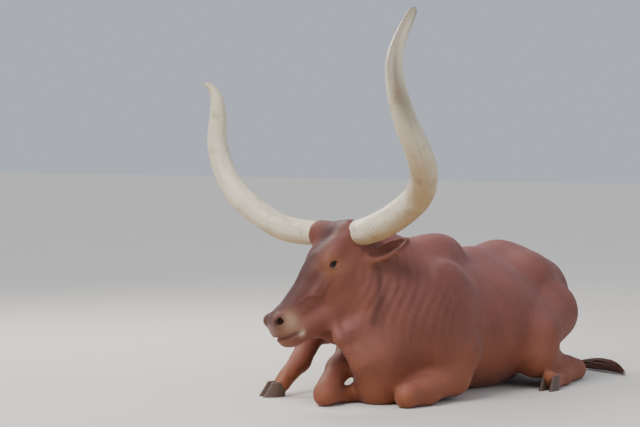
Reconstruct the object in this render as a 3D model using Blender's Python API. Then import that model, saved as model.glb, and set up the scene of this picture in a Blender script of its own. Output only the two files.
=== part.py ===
"""A long-horned ox lying on its brisket, life size, as a still museum model.

Metres, +Z up. The ox faces -Y, its left side is +X, and it lies on the floor at Z = 0.
Flesh is a smooth blend of ellipsoids and tapered rods, read off a grid as one closed surface,
thinned, and parted into its nodes by narrow cuts.
"""
import math

import bmesh
import bpy
import numpy as np
from mathutils import Matrix, Vector

GAP = 0.0004
HEAD_LENGTH = 0.59
POLL = Vector((-0.180, 0.075, 0.818))
FACE_YAW = math.radians(26.0)
HORN_YAW = math.radians(22.0)
FACE_PITCH = math.radians(41.0)
FACE_ROLL = math.radians(6.0)
EYE_RADIUS = 0.021
EYE_PLACE = (0.207, 0.092, -0.052)
EAR_ROOT = (0.075, 0.100, -0.155)
EAR_REACH = 0.28
BODY_STEP = 0.016
LEG_STEP = 0.010
HEAD_STEP = 0.0055
EAR_STEP = 0.0045
TRUNK_FACES = 2200
HEAD_FACES = 3000
EAR_FACES = 300
LEG_FACES = 520
HORN_SIDES = 12
HORN_RINGS = 24
TAIL_SIDES = 8
FLOOR_SNAP = 0.002

HIDE = ("Coat", "#7A4638", 0.75)
HORN = ("Horn sheath", "#D9CDAE", 0.4)
HOOF = ("Hoof wall", "#4A3B33", 0.5)
EYE = ("Eye", "#1B100C", 0.1)
SWITCH = ("Tail hair", "#4B2A22", 0.8)

# Places along each horn, from the poll: to its own side, forward over the face, up; and radius.
HORN_LEFT = (
    (0.06, 0.00, -0.015, 0.062), (0.15, -0.02, -0.005, 0.066), (0.30, -0.06, 0.055, 0.067),
    (0.46, -0.07, 0.150, 0.066), (0.58, -0.01, 0.250, 0.064), (0.64, 0.07, 0.360, 0.060),
    (0.65, 0.14, 0.480, 0.054), (0.64, 0.18, 0.600, 0.047), (0.61, 0.18, 0.715, 0.040),
    (0.585, 0.15, 0.800, 0.034), (0.57, 0.10, 0.885, 0.028), (0.56, 0.05, 0.955, 0.022),
    (0.555, 0.02, 0.995, 0.012),
)
HORN_RIGHT = (
    (0.06, 0.00, -0.030, 0.058), (0.15, 0.05, -0.035, 0.060), (0.32, 0.13, -0.015, 0.061),
    (0.49, 0.18, 0.060, 0.061), (0.64, 0.20, 0.150, 0.059), (0.735, 0.21, 0.265, 0.056),
    (0.775, 0.22, 0.390, 0.050), (0.77, 0.22, 0.510, 0.042), (0.765, 0.23, 0.605, 0.031),
    (0.78, 0.25, 0.655, 0.020), (0.80, 0.28, 0.680, 0.007),
)


def head_axes():
    """Three unit vectors of the head: down the face, to its left, and out of its forehead."""
    turn = Matrix.Rotation(-FACE_YAW, 3, "Z") @ Matrix.Rotation(FACE_PITCH, 3, "X")
    turn = turn @ Matrix.Rotation(-FACE_ROLL, 3, "Y")
    return turn @ Vector((0, -1, 0)), turn @ Vector((1, 0, 0)), turn @ Vector((0, 0, 1))


FACE, LEFT, BROW = head_axes()
LEVEL_FORWARD = Vector((-math.sin(HORN_YAW), -math.cos(HORN_YAW), 0.0))
LEVEL_LEFT = Vector((-LEVEL_FORWARD.y, LEVEL_FORWARD.x, 0.0))


def on_head(along, side, out):
    """A place on the head: metres down the face, to its left and out of the forehead."""
    return POLL + FACE * along + LEFT * side + BROW * out


def flat_axes(turn_z=0.0, turn_x=0.0):
    """Rows of a turned frame, as ball() takes them."""
    turned = Matrix.Rotation(turn_z, 3, "Z") @ Matrix.Rotation(turn_x, 3, "X")
    return np.array(turned.transposed())


HEAD_ROWS = np.array([FACE, LEFT, BROW])
LEVEL = np.eye(3)


def ball(grid, centre, radii, rows=LEVEL):
    """Signed distance to an ellipsoid, from its scaled radius and that radius's slope."""
    local = [sum((grid[k] - centre[k]) * rows[a][k] for k in range(3)) for a in range(3)]
    near = np.sqrt(sum((local[a] / radii[a]) ** 2 for a in range(3)))
    slope = np.sqrt(sum((local[a] / radii[a] ** 2) ** 2 for a in range(3))) + 1e-6
    return near * (near - 1.0) / slope


def rod(grid, start, end, first, last):
    """Signed distance to a rod with round ends whose radius runs from first to last."""
    axis = np.array(end) - np.array(start)
    reach = sum((grid[k] - start[k]) * axis[k] for k in range(3)) / float(axis @ axis)
    reach = np.clip(reach, 0.0, 1.0)
    away = np.sqrt(sum((grid[k] - start[k] - reach * axis[k]) ** 2 for k in range(3)))
    return away - (first + (last - first) * reach)


def join(a, b, soft):
    """The smaller of two distances, rounded where they come within soft of each other."""
    near = np.maximum(soft - np.abs(a - b), 0.0) / soft
    return np.minimum(a, b) - near * near * soft * 0.25


def cut(a, b, soft):
    """What is left of a without b, with its rim rounded over soft."""
    return -join(-a, b, soft)


def chain(grid, places, soft):
    """Rods end to end through (x, y, z, radius) places, softly joined."""
    field = None
    for here, there in zip(places[:-1], places[1:]):
        piece = rod(grid, here[:3], there[:3], here[3], there[3])
        field = piece if field is None else join(field, piece, soft)
    return field


def head_ball(grid, place, radii):
    return ball(grid, on_head(*place), radii, HEAD_ROWS)


def head_rod(grid, start, end, first, last):
    return rod(grid, on_head(*start), on_head(*end), first, last)


def torso_field(grid):
    """Chest, belly, rump, hump and spine of the lying body."""
    field = ball(grid, (0.0, 0.46, 0.345), (0.285, 0.40, 0.355))
    field = join(field, ball(grid, (0.0, 0.92, 0.31), (0.375, 0.52, 0.345)), 0.12)
    field = join(field, ball(grid, (0.0, 1.32, 0.345), (0.30, 0.36, 0.335)), 0.12)
    for side in (-1, 1):
        shoulder = ball(grid, (0.19 * side, 0.37, 0.35), (0.115, 0.18, 0.30))
        field = join(field, shoulder, 0.08)
        field = join(field, ball(grid, (0.235 * side, 1.24, 0.57), (0.06, 0.08, 0.06)), 0.10)
        field = join(field, ball(grid, (0.11 * side, 1.60, 0.40), (0.09, 0.08, 0.14)), 0.10)
    spine = ((0, 0.5, 0.62, 0.07), (0, 0.95, 0.585, 0.07), (0, 1.25, 0.60, 0.07), (0, 1.58, 0.50, 0.06))
    field = join(field, chain(grid, spine, 0.06), 0.10)
    field = join(field, ball(grid, (0.02, 0.58, 0.665), (0.11, 0.17, 0.105)), 0.07)
    return join(field, ball(grid, (-0.01, 0.13, 0.15), (0.125, 0.16, 0.20)), 0.10)


def neck_field(grid):
    """Crest, throat and the thin hanging dewlap, from the withers to behind the jaw."""
    crest = chain(grid, ((0.0, 0.50, 0.58, 0.14), (-0.09, 0.26, 0.66, 0.12), (-0.155, 0.10, 0.70, 0.105)), 0.06)
    throat = chain(grid, ((0.0, 0.30, 0.36, 0.19), (-0.10, 0.12, 0.48, 0.135), (-0.17, 0.00, 0.58, 0.10)), 0.06)
    field = join(crest, throat, 0.16)
    edge = ((-0.19, -0.07, 0.44, 0.028), (-0.10, -0.095, 0.31, 0.024), (-0.03, -0.05, 0.19, 0.035))
    for drop in (0.0, 0.07, 0.14):
        sheet = [(x + drop * 0.4, y + drop, z + drop * 0.5, r + drop * 0.15) for x, y, z, r in edge]
        field = join(field, chain(grid, sheet, 0.04), 0.06)
    return field


def head_field(grid):
    """Skull, cheeks, muzzle, lips, brows and horn bosses, with the nostrils and mouth cut in."""
    field = head_ball(grid, (0.105, 0, -0.10), (0.15, 0.105, 0.105))
    field = join(field, head_ball(grid, (0.14, 0, -0.045), (0.17, 0.095, 0.045)), 0.04)
    field = join(field, head_rod(grid, (0.16, 0, -0.095), (0.50, 0, -0.075), 0.085, 0.058), 0.06)
    field = join(field, head_ball(grid, (0.53, 0, -0.078), (0.062, 0.080, 0.058)), 0.04)
    field = join(field, head_ball(grid, (0.525, 0, -0.135), (0.052, 0.056, 0.030)), 0.02)
    for side in (-1, 1):
        jaw = head_rod(grid, (0.20, 0.055 * side, -0.215), (0.50, 0.022 * side, -0.135), 0.048, 0.026)
        cheek = head_ball(grid, (0.20, 0.068 * side, -0.15), (0.115, 0.045, 0.10))
        brow = head_ball(grid, (0.187, 0.084 * side, -0.033), (0.055, 0.032, 0.030))
        boss = head_rod(grid, (0.03, 0, -0.06), (0.03, 0.095 * side, -0.055), 0.07, 0.066)
        for piece, soft in ((jaw, 0.07), (cheek, 0.05), (brow, 0.03), (boss, 0.04)):
            field = join(field, piece, soft)
        ridge = head_rod(grid, (0.24, 0.088 * side, -0.075), (0.36, 0.066 * side, -0.095), 0.014, 0.010)
        field = join(field, ridge, 0.03)
        wing = head_ball(grid, (0.555, 0.050 * side, -0.058), (0.034, 0.026, 0.030))
        field = join(field, wing, 0.02)
        place = (EYE_PLACE[0], EYE_PLACE[1] * side, EYE_PLACE[2])
        lids = head_ball(grid, place, (0.036, 0.023, 0.028))
        field = join(field, lids, 0.018)
        for lid, thick in ((0.017, 0.0075), (-0.017, 0.0065)):
            corner = (place[0] - 0.022, place[1] + 0.004 * side, place[2])
            middle = (place[0], place[1] + 0.017 * side, place[2] + lid)
            other = (place[0] + 0.024, place[1] + 0.002 * side, place[2] - 0.003)
            field = join(field, head_rod(grid, corner, middle, thick, thick), 0.008)
            field = join(field, head_rod(grid, middle, other, thick, thick), 0.008)
        opening = head_ball(grid, (place[0], place[1] + 0.022 * side, place[2]), (0.021, 0.017, 0.0105))
        field = cut(field, opening, 0.004)
        nostril = head_rod(grid, (0.572, 0.076 * side, -0.046), (0.548, 0.040 * side, -0.062), 0.014, 0.011)
        field = cut(field, nostril, 0.008)
        mouth = ((0.585, 0.0, -0.117), (0.573, 0.040 * side, -0.117), (0.535, 0.073 * side, -0.117),
                 (0.475, 0.067 * side, -0.120), (0.435, 0.068 * side, -0.127))
        for here, there in zip(mouth[:-1], mouth[1:]):
            field = cut(field, head_rod(grid, here, there, 0.0065, 0.0065), 0.006)
    return field


def flesh(grid):
    """The whole trunk: torso, neck and head softly joined, above the floor."""
    field = join(torso_field(grid), neck_field(grid), 0.09)
    field = join(field, head_field(grid), 0.035)
    return np.maximum(field, -grid[2])


def ear_field(grid, side):
    """A leaf of flesh standing out behind the horn, hollowed on its front as a cup."""
    root = on_head(*EAR_ROOT[:1], EAR_ROOT[1] * side, EAR_ROOT[2])
    tip = root + LEVEL_LEFT * (0.13 * side) + Vector((0, 0, 0.10)) - LEVEL_FORWARD * 0.15
    along = (tip - root).normalized()
    front = (FACE * 0.45 + BROW * 0.9)
    front = (front - along * front.dot(along)).normalized()
    rows = np.array([along, front, along.cross(front)])
    middle = root + along * 0.115
    leaf = ball(grid, middle, (0.115, 0.026, 0.055), rows)
    leaf = join(leaf, rod(grid, root - along * 0.02, root + along * 0.05, 0.030, 0.026), 0.03)
    hollow = ball(grid, middle + along * 0.010 + front * 0.024, (0.085, 0.026, 0.036), rows)
    return cut(leaf, hollow, 0.010)


LEGS = {
    "foreleg_left": (
        ((0.25, 0.44, 0.22, 0.085), (0.235, 0.37, 0.10, 0.070), (0.20, 0.16, 0.060, 0.060),
         (0.175, 0.05, 0.054, 0.060)),
        ((0.175, 0.03, 0.046, 0.050), (0.13, 0.16, 0.038, 0.036), (0.095, 0.22, 0.036, 0.040)),
        (0.095, 0.22, 0.045), (0.06, 0.30, 0.030)),
    "foreleg_right": (
        ((-0.22, 0.34, 0.30, 0.085), (-0.225, 0.22, 0.24, 0.070), (-0.20, 0.05, 0.155, 0.053),
         (-0.175, -0.10, 0.066, 0.060)),
        ((-0.17, -0.125, 0.048, 0.052), (-0.15, 0.02, 0.038, 0.036), (-0.135, 0.08, 0.036, 0.040)),
        (-0.135, 0.08, 0.045), (-0.12, 0.17, 0.030)),
    "hindleg_left": (
        ((0.25, 1.30, 0.34, 0.17), (0.33, 1.02, 0.25, 0.12), (0.36, 0.98, 0.15, 0.095),
         (0.38, 1.28, 0.060, 0.060), (0.39, 1.36, 0.050, 0.056)),
        ((0.39, 1.36, 0.050, 0.054), (0.44, 1.12, 0.036, 0.038), (0.46, 0.96, 0.038, 0.042)),
        (0.46, 0.96, 0.048), (0.47, 0.86, 0.034)),
    "hindleg_right": (
        ((-0.24, 1.25, 0.36, 0.17), (-0.34, 0.75, 0.36, 0.12), (-0.43, 0.42, 0.34, 0.085),
         (-0.50, 0.24, 0.24, 0.062)),
        ((-0.50, 0.24, 0.24, 0.062), (-0.53, 0.10, 0.13, 0.045), (-0.545, 0.02, 0.062, 0.046)),
        (-0.545, 0.02, 0.056), (-0.60, -0.08, 0.034)),
}
HOOF_LENGTH = 0.125
HOOF_WIDTH = 0.052
HOOF_HEIGHT = 0.07


def leg_field(grid, upper, lower):
    field = chain(grid, upper, 0.05)
    field = join(field, chain(grid, lower, 0.03), 0.02)
    ankle = lower[-1]
    before = Vector(lower[-2][:3])
    back = (before - Vector(ankle[:3])).normalized()
    for side in (-1, 1):
        across = back.cross(Vector((0, 0, 1))).normalized()
        claw = Vector(ankle[:3]) + across * (0.026 * side) + back * 0.01 + Vector((0, 0, 0.022))
        field = join(field, ball(grid, claw, (0.016, 0.016, 0.016)), 0.012)
    return np.maximum(field, -grid[2])


def softened(field):
    """A one-two-one average along each axis, which leaves no wall thinner than the grid."""
    for axis in range(3):
        padded = np.pad(field, [(1, 1) if k == axis else (0, 0) for k in range(3)], mode="edge")
        before = padded.take(range(0, field.shape[axis]), axis)
        after = padded.take(range(2, field.shape[axis] + 2), axis)
        field = (before + 2.0 * field + after) * 0.25
    return field


def surface(field, low, step):
    """Closed quads where a grid of distances crosses zero, one point for each crossed cell."""
    inside = field < 0.0
    shape = np.array(field.shape) - 1
    total = np.zeros(tuple(shape) + (3,))
    count = np.zeros(tuple(shape))
    for axis in range(3):
        others = [a for a in range(3) if a != axis]
        near = [slice(None)] * 3
        far = [slice(None)] * 3
        near[axis] = slice(0, -1)
        far[axis] = slice(1, None)
        a, b = field[tuple(near)], field[tuple(far)]
        crossed = inside[tuple(near)] != inside[tuple(far)]
        share = np.where(crossed, a / np.where(crossed, a - b, 1.0), 0.0)
        for first in (0, 1):
            for second in (0, 1):
                pick = [slice(None)] * 3
                pick[others[0]] = slice(first, first + shape[others[0]])
                pick[others[1]] = slice(second, second + shape[others[1]])
                hit = crossed[tuple(pick)]
                count += hit
                total[..., axis] += np.where(hit, share[tuple(pick)], 0.0)
                total[..., others[0]] += hit * first
                total[..., others[1]] += hit * second
    used = count > 0
    number = np.full(count.shape, -1)
    number[used] = np.arange(used.sum())
    cells = np.argwhere(used)
    points = np.array(low) + (cells + total[used] / count[used][:, None]) * step
    faces = []
    for axis in range(3):
        u, v = (axis + 1) % 3, (axis + 2) % 3
        near = [slice(1, -1)] * 3
        far = [slice(1, -1)] * 3
        near[axis] = slice(0, -1)
        far[axis] = slice(1, None)
        start, end = inside[tuple(near)], inside[tuple(far)]
        for way in (True, False):
            at = np.argwhere((start != end) & (start == way))
            at[:, u] += 1
            at[:, v] += 1
            corners = []
            for du, dv in ((-1, -1), (0, -1), (0, 0), (-1, 0)):
                cell = at.copy()
                cell[:, u] += du
                cell[:, v] += dv
                corners.append(number[tuple(cell.T)])
            quad = np.stack(corners, axis=1)
            faces.append(quad if way else quad[:, ::-1])
    return points, np.concatenate(faces)


def material(look):
    name, colour, rough = look
    found = bpy.data.materials.get(name)
    if found:
        return found
    made = bpy.data.materials.new(name)
    made.use_nodes = True
    shader = made.node_tree.nodes["Principled BSDF"]
    srgb = [int(colour[i:i + 2], 16) / 255.0 for i in (1, 3, 5)]
    shader.inputs["Base Color"].default_value = (*[c ** 2.2 for c in srgb], 1.0)
    shader.inputs["Roughness"].default_value = rough
    return made


def new_object(name, points, faces, look=HIDE):
    mesh = bpy.data.meshes.new(name)
    mesh.from_pydata([tuple(p) for p in points], [], [tuple(map(int, f)) for f in faces])
    mesh.materials.append(material(look))
    obj = bpy.data.objects.new(name, mesh)
    bpy.context.scene.collection.objects.link(obj)
    return obj


def applied(obj):
    """Writes the object's modifiers into its mesh."""
    graph = bpy.context.evaluated_depsgraph_get()
    mesh = bpy.data.meshes.new_from_object(obj.evaluated_get(graph))
    obj.modifiers.clear()
    obj.data = mesh
    return obj


def largest_part(obj):
    """Keeps the closed surface that has the most faces, and makes all its faces triangles."""
    shape = bmesh.new()
    shape.from_mesh(obj.data)
    left = set(shape.verts)
    parts = []
    while left:
        stack = [left.pop()]
        part = set(stack)
        while stack:
            for edge in stack.pop().link_edges:
                for vert in edge.verts:
                    if vert in left:
                        left.remove(vert)
                        part.add(vert)
                        stack.append(vert)
        parts.append(part)
    parts.sort(key=len)
    bmesh.ops.delete(shape, geom=[v for part in parts[:-1] for v in part], context="VERTS")
    bmesh.ops.triangulate(shape, faces=shape.faces[:])
    shape.to_mesh(obj.data)
    shape.free()
    return obj


def field_solid(name, field_of, low, high, step, triangles):
    """Reads a field on a grid between two corners and thins its surface to about that many faces."""
    low = np.array(low, dtype=float)
    counts = np.ceil((np.array(high) - low) / step).astype(int) + 1
    lines = [(low[k] + np.arange(counts[k]) * step).astype(np.float32) for k in range(3)]
    grid = np.meshgrid(*lines, indexing="ij")
    field = softened(field_of(grid))
    for axis in range(3):
        ends = [slice(None)] * 3
        ends[axis] = (0, -1)
        field[tuple(ends)] = np.maximum(field[tuple(ends)], step * 0.4)
    points, faces = surface(field, low, step)
    obj = largest_part(new_object(name, points, faces))
    thin = obj.modifiers.new("Thin", "DECIMATE")
    thin.ratio = min(1.0, triangles / len(obj.data.polygons))
    applied(obj)
    for vert in obj.data.vertices:
        if vert.co.z < FLOOR_SNAP:
            vert.co.z = 0.0
    return largest_part(obj)


def tube(name, places, sides, look):
    """A closed tube through (point, radius) places, its rings kept from twisting, ends capped."""
    points, faces = [], []
    side = None
    for index, (here, radius) in enumerate(places):
        ahead = places[min(index + 1, len(places) - 1)][0] - places[max(index - 1, 0)][0]
        ahead.normalize()
        if side is None:
            side = ahead.orthogonal().normalized()
        side = (side - ahead * side.dot(ahead)).normalized()
        other = ahead.cross(side)
        for step in range(sides):
            angle = 2 * math.pi * step / sides
            points.append(here + (side * math.cos(angle) + other * math.sin(angle)) * radius)
    for ring in range(len(places) - 1):
        for step in range(sides):
            a, b = ring * sides + step, ring * sides + (step + 1) % sides
            faces.append((a, b, b + sides, a + sides))
    faces.append(tuple(range(sides))[::-1])
    faces.append(tuple(range(len(points) - sides, len(points))))
    return new_object(name, points, faces, look)


def smooth_path(places, count):
    """Points read evenly from a Catmull-Rom curve through places of any number of values."""
    knots = np.array(places, dtype=float)
    padded = np.vstack([2 * knots[0] - knots[1], knots, 2 * knots[-1] - knots[-2]])
    out = []
    for value in np.linspace(0, len(knots) - 1, count):
        i = min(int(value), len(knots) - 2)
        t = value - i
        a, b, c, d = padded[i:i + 4]
        out.append(0.5 * (2 * b + (c - a) * t + (2 * a - 5 * b + 4 * c - d) * t * t
                          + (3 * b - a - 3 * c + d) * t ** 3))
    return out


def horn(name, places, side):
    rings = []
    for lateral, forward, up, radius in smooth_path(places, HORN_RINGS):
        centre = POLL + LEVEL_LEFT * (lateral * side) + LEVEL_FORWARD * forward
        rings.append((centre + Vector((0, 0, up)), radius))
    return tube(name, rings, HORN_SIDES, HORN)


def hoof(name, top, toe):
    """A cloven hoof: two flat-soled claws side by side, joined at the top, on the floor."""
    top, toe = Vector(top), Vector(toe)
    ahead = Vector((toe.x - top.x, toe.y - top.y, 0)).normalized()
    across = Vector((-ahead.y, ahead.x, 0))
    outline = ((-0.40, 0.0), (0.56, 0.0), (0.60, 0.16), (0.10, 1.0), (-0.34, 0.90), (-0.44, 0.45))
    points, faces = [], []
    heel = Vector((top.x, top.y, 0)) + ahead * (HOOF_LENGTH * 0.30)
    for along, slab in enumerate((-1.0, -0.08, 0.08, 1.0)):
        for length, height in outline:
            narrow = 1.0 - 0.35 * max(length, 0.0) if abs(slab) == 1.0 else 1.0
            cleft = 1.0 if abs(slab) == 1.0 else (0.62 if length > 0.3 else 1.0)
            spot = heel + ahead * (length * HOOF_LENGTH * cleft)
            spot = spot + across * (slab * HOOF_WIDTH * narrow)
            points.append(spot + Vector((0, 0, height * HOOF_HEIGHT)))
    n = len(outline)
    for row in range(3):
        for i in range(n):
            a, b = row * n + i, row * n + (i + 1) % n
            faces.append((a, a + n, b + n, b))
    faces.append(tuple(range(n)))
    faces.append(tuple(range(3 * n, 4 * n))[::-1])
    obj = new_object(name, points, faces, HOOF)
    shape = bmesh.new()
    shape.from_mesh(obj.data)
    bmesh.ops.recalc_face_normals(shape, faces=shape.faces[:])
    bmesh.ops.triangulate(shape, faces=shape.faces[:])
    shape.to_mesh(obj.data)
    shape.free()
    return obj


def take_away(obj, cutter, grow=GAP, operation="DIFFERENCE"):
    """Cuts a slightly swollen copy of one piece out of another, so that a narrow gap stays."""
    swollen = bpy.data.objects.new("swollen", cutter.data.copy())
    bpy.context.scene.collection.objects.link(swollen)
    if grow:
        push = swollen.modifiers.new("Swell", "DISPLACE")
        push.strength = grow
        push.mid_level = 0.0
    boolean = obj.modifiers.new("Cut", "BOOLEAN")
    boolean.operation = operation
    boolean.solver = "MANIFOLD"
    boolean.object = swollen
    applied(obj)
    bpy.data.objects.remove(swollen)
    return largest_part(obj)


def half_space(obj, point, normal, reach=3.0):
    """Removes what lies beyond a plane, on the side its normal points to."""
    normal = Vector(normal).normalized()
    shape = bmesh.new()
    bmesh.ops.create_cube(shape, size=reach)
    turn = normal.to_track_quat("Z", "Y").to_matrix().to_4x4()
    place = Matrix.Translation(Vector(point) + normal * (reach / 2)) @ turn
    bmesh.ops.transform(shape, matrix=place, verts=shape.verts)
    mesh = bpy.data.meshes.new("block")
    shape.to_mesh(mesh)
    shape.free()
    block = bpy.data.objects.new("block", mesh)
    bpy.context.scene.collection.objects.link(block)
    take_away(obj, block, 0.0)
    bpy.data.objects.remove(block)
    return obj


def copy_of(obj, name):
    twin = bpy.data.objects.new(name, obj.data.copy())
    bpy.context.scene.collection.objects.link(twin)
    return twin


def eyeball(name, side):
    centre = on_head(EYE_PLACE[0], EYE_PLACE[1] * side, EYE_PLACE[2])
    shape = bmesh.new()
    bmesh.ops.create_uvsphere(shape, u_segments=14, v_segments=9, radius=EYE_RADIUS,
                              matrix=Matrix.Translation(centre))
    bmesh.ops.triangulate(shape, faces=shape.faces[:])
    mesh = bpy.data.meshes.new(name)
    shape.to_mesh(mesh)
    shape.free()
    mesh.materials.append(material(EYE))
    obj = bpy.data.objects.new(name, mesh)
    bpy.context.scene.collection.objects.link(obj)
    return obj


TAIL_PATH = (
    (0.0, 1.60, 0.46, 0.040), (0.01, 1.69, 0.40, 0.032), (0.03, 1.735, 0.26, 0.025),
    (0.06, 1.745, 0.12, 0.021), (0.13, 1.76, 0.035, 0.019), (0.24, 1.755, 0.021, 0.018),
)
SWITCH_PATH = (
    (0.24, 1.755, 0.021, 0.018), (0.31, 1.74, 0.034, 0.032), (0.40, 1.70, 0.040, 0.038),
    (0.49, 1.65, 0.032, 0.030), (0.56, 1.60, 0.014, 0.010),
)
# Corners of the head's share of the flesh, seen from its side: down the face, out of the brow.
HEAD_OUTLINE = ((-0.12, 0.30), (-0.12, -0.09), (0.19, -0.272), (0.50, -0.180), (0.78, -0.08), (0.78, 0.30))
HEAD_HALF_WIDTH = 0.45
NECK_CUT = (Vector((-0.06, 0.22, 0.48)), (0.15, 0.77, -0.64))


def head_share():
    """A prism across the head whose outline leaves the throat and the dewlap to the neck."""
    points = [on_head(along, side, out) for side in (HEAD_HALF_WIDTH, -HEAD_HALF_WIDTH)
              for along, out in HEAD_OUTLINE]
    n = len(HEAD_OUTLINE)
    faces = [(i, i + n, (i + 1) % n + n, (i + 1) % n) for i in range(n)]
    faces += [tuple(range(n)), tuple(range(n, 2 * n))[::-1]]
    obj = new_object("head_share", points, faces)
    shape = bmesh.new()
    shape.from_mesh(obj.data)
    bmesh.ops.recalc_face_normals(shape, faces=shape.faces[:])
    shape.to_mesh(obj.data)
    shape.free()
    return obj


def head_and_trunk():
    """Head, neck and torso from one field, parted by two narrow planes."""
    head_low = (-0.50, -0.50, 0.28)
    head_high = (0.12, 0.30, 0.98)
    head = field_solid("head", flesh, head_low, head_high, HEAD_STEP, HEAD_FACES)
    trunk = field_solid("torso", flesh, (-0.50, -0.42, -0.02), (0.50, 1.86, 0.98), BODY_STEP, TRUNK_FACES)
    share = head_share()
    take_away(head, share, 0.0, "INTERSECT")
    take_away(trunk, share, 2 * GAP)
    bpy.data.objects.remove(share)
    neck = copy_of(trunk, "neck")
    point, normal = NECK_CUT
    half = Vector(normal).normalized() * (GAP / 2)
    half_space(neck, point - half, normal)
    half_space(trunk, point + half, -Vector(normal))
    return head, neck, trunk


def to_floor_datum(nodes):
    """Moves everything so that the origin is under the middle of the whole box, on the floor."""
    corners = np.array([v.co[:] for obj in nodes for v in obj.data.vertices])
    shift = -(corners.min(axis=0) + corners.max(axis=0)) / 2
    move = Matrix.Translation(Vector((shift[0], shift[1], 0.0)))
    for obj in nodes:
        obj.data.transform(move)


def build():
    for obj in list(bpy.data.objects):
        bpy.data.objects.remove(obj)
    head, neck, torso = head_and_trunk()
    nodes = [head, neck, torso]
    for word, side in (("left", 1), ("right", -1)):
        eye = eyeball("eye_" + word, side)
        take_away(head, eye)
        nodes.append(eye)
        horn_piece = horn("horn_" + word, HORN_LEFT if side == 1 else HORN_RIGHT, side)
        take_away(horn_piece, head)
        nodes.append(horn_piece)
        root = on_head(*EAR_ROOT[:1], EAR_ROOT[1] * side, EAR_ROOT[2])
        low = [root[k] - EAR_REACH for k in range(3)]
        high = [root[k] + EAR_REACH for k in range(3)]
        ear = field_solid("ear_" + word, lambda g, s=side: ear_field(g, s), low, high, EAR_STEP, EAR_FACES)
        take_away(ear, head)
        take_away(ear, neck)
        nodes.append(ear)
    for name, (upper, lower, top, toe) in LEGS.items():
        hoof_piece = hoof(name.replace("leg", "hoof"), top, toe)
        places = np.array([p[:3] for p in upper + lower])
        leg = field_solid(name, lambda g, u=upper, d=lower: leg_field(g, u, d),
                          places.min(axis=0) - 0.2, places.max(axis=0) + 0.2, LEG_STEP, LEG_FACES)
        take_away(hoof_piece, torso)
        for other in (torso, neck, hoof_piece):
            take_away(leg, other)
        nodes += [hoof_piece, leg]
    tail = tube("tail", [(Vector(p[:3]), p[3]) for p in smooth_path(TAIL_PATH, 16)], TAIL_SIDES, HIDE)
    take_away(tail, torso)
    switch = tube("tail_switch", [(Vector(p[:3]), p[3]) for p in smooth_path(SWITCH_PATH, 10)], TAIL_SIDES, SWITCH)
    take_away(switch, tail)
    nodes += [tail, switch]
    to_floor_datum(nodes)


build()
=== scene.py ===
"""A long-horned ox lying on its brisket: skin, coat, horns, hooves, eyes and tail hair."""
import math
from functools import partial, reduce
from itertools import pairwise, product

import bmesh
import bpy
import numpy as np
from mathutils import Matrix, Vector


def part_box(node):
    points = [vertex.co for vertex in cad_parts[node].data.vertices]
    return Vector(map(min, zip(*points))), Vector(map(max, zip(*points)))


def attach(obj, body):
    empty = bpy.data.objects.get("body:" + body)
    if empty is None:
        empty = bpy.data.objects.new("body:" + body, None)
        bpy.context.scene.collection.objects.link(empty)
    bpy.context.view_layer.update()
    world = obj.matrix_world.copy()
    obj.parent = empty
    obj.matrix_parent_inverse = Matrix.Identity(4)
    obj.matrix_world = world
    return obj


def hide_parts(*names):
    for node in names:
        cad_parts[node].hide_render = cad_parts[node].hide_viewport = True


bl_info = {
    "name": "Lying long-horned ox",
    "version": (1, 0, 0),
    "blender": (4, 5, 0),
    "location": "3D View > Sidebar > Ox",
    "description": "Dresses the packed solids of a lying ox with skin, coat, horns and hooves",
    "category": "Object",
}

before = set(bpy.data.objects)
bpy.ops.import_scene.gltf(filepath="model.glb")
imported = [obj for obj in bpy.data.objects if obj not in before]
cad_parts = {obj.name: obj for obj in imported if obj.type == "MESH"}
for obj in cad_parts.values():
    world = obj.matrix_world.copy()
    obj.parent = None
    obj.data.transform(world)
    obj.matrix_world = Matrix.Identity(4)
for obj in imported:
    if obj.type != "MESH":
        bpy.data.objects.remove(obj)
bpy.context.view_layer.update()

# The poll is the top of the head between the horns. Head and horns turn about it.
POLL = Vector((-0.180, 0.075, 0.818))
FACE_YAW = math.radians(26.0)
HORN_YAW = math.radians(22.0)
FACE_PITCH = math.radians(41.0)
FACE_ROLL = math.radians(6.0)

# Places on the head: metres down the face, to its left, and out of the forehead.
EYE_PLACE = (0.207, 0.092, -0.052)
EAR_ROOT = (0.075, 0.100, -0.155)
NOSTRIL = (0.568, 0.058, -0.066)
NOSE_TIP = (0.612, 0.0, -0.085)

EYE_RADIUS = 0.021
EYE_TILT = math.radians(20.0)
TILT_COS, TILT_SIN = math.cos(EYE_TILT), math.sin(EYE_TILT)
# Reach of the lids' opening from the eye's middle: ahead and behind, above, and below.
LID_REACH, LID_ABOVE, LID_BELOW = 0.0205, 0.0140, 0.0120
# Creases round the eye: depth, height over its middle, and how strongly each bends.
LID_CREASES = ((0.0030, 0.024, 9.0), (0.0024, -0.021, -9.0), (0.0016, -0.030, -7.0))

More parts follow.
